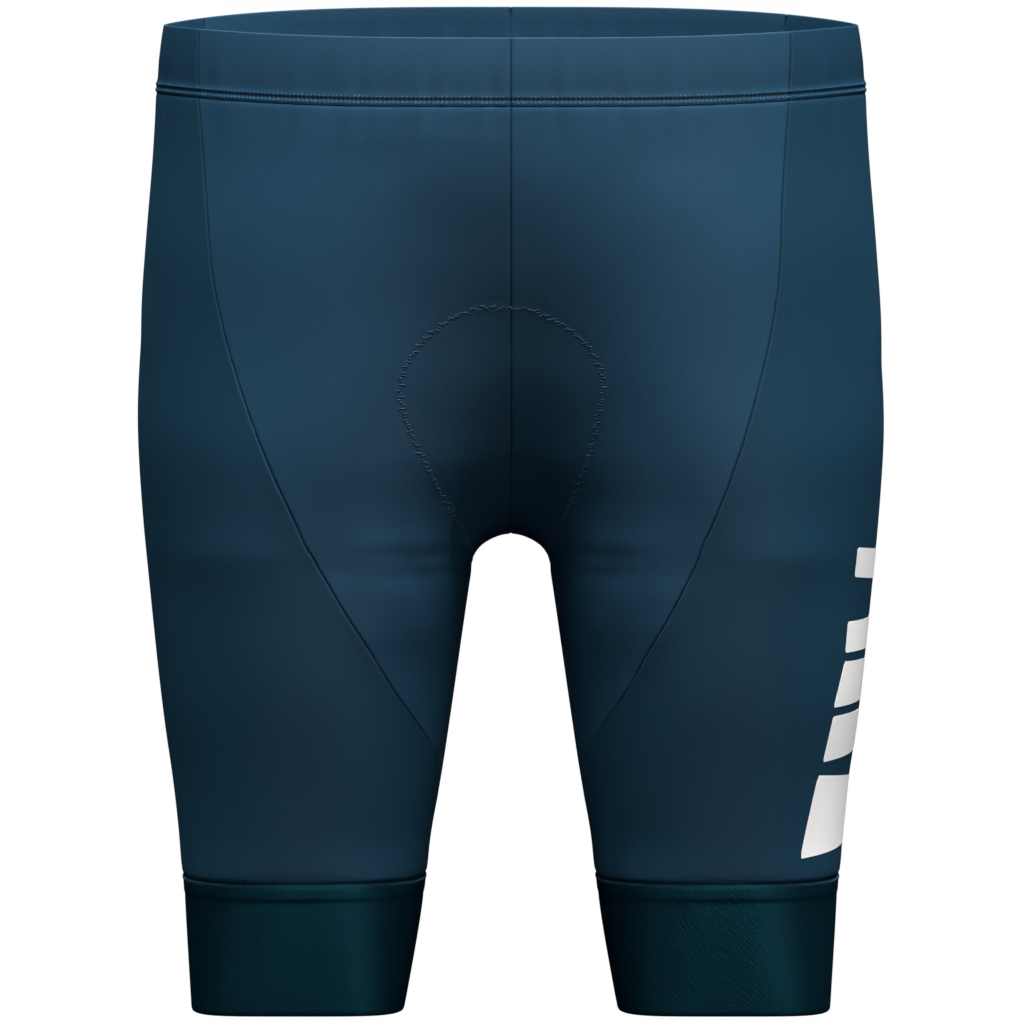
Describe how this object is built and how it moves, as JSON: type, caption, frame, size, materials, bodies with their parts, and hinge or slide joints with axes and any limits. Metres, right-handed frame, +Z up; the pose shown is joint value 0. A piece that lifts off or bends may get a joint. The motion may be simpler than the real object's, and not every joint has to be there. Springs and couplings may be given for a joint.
{
  "type": "triathlon shorts",
  "caption": "Close-fitting knee-length sports shorts in their worn shape, hollow, with elastic waistband, seat pad and leg grippers.",
  "frame": {"origin": "centre of the waist opening, level with the waistband's rim at the wearer's sides", "axes": "+Z up towards the waist, -Y the wearer's front, +X the wearer's left"},
  "size_m": [0.3392, 0.2396, 0.4509],
  "materials": {
    "body_knit": "smooth stretch knit with a soft sheen, petrol blue",
    "gripper_knit": "elastic knit with a fine diagonal rib and a satin sheen, dark teal",
    "pad_fleece": "matt brushed fleece over foam, dark grey blue"
  },
  "bodies": {
    "root": {"front_left": "body_knit", "back_left": "body_knit", "side_left": "body_knit", "front_right": "body_knit", "back_right": "body_knit", "side_right": "body_knit", "waistband_front_left": "body_knit", "waistband_side_left": "body_knit", "waistband_back_left": "body_knit", "waistband_front_right": "body_knit", "waistband_side_right": "body_knit", "waistband_back_right": "body_knit", "gripper_left": "gripper_knit", "gripper_right": "gripper_knit", "seat_pad": "pad_fleece"}
  },
  "joints": []
}
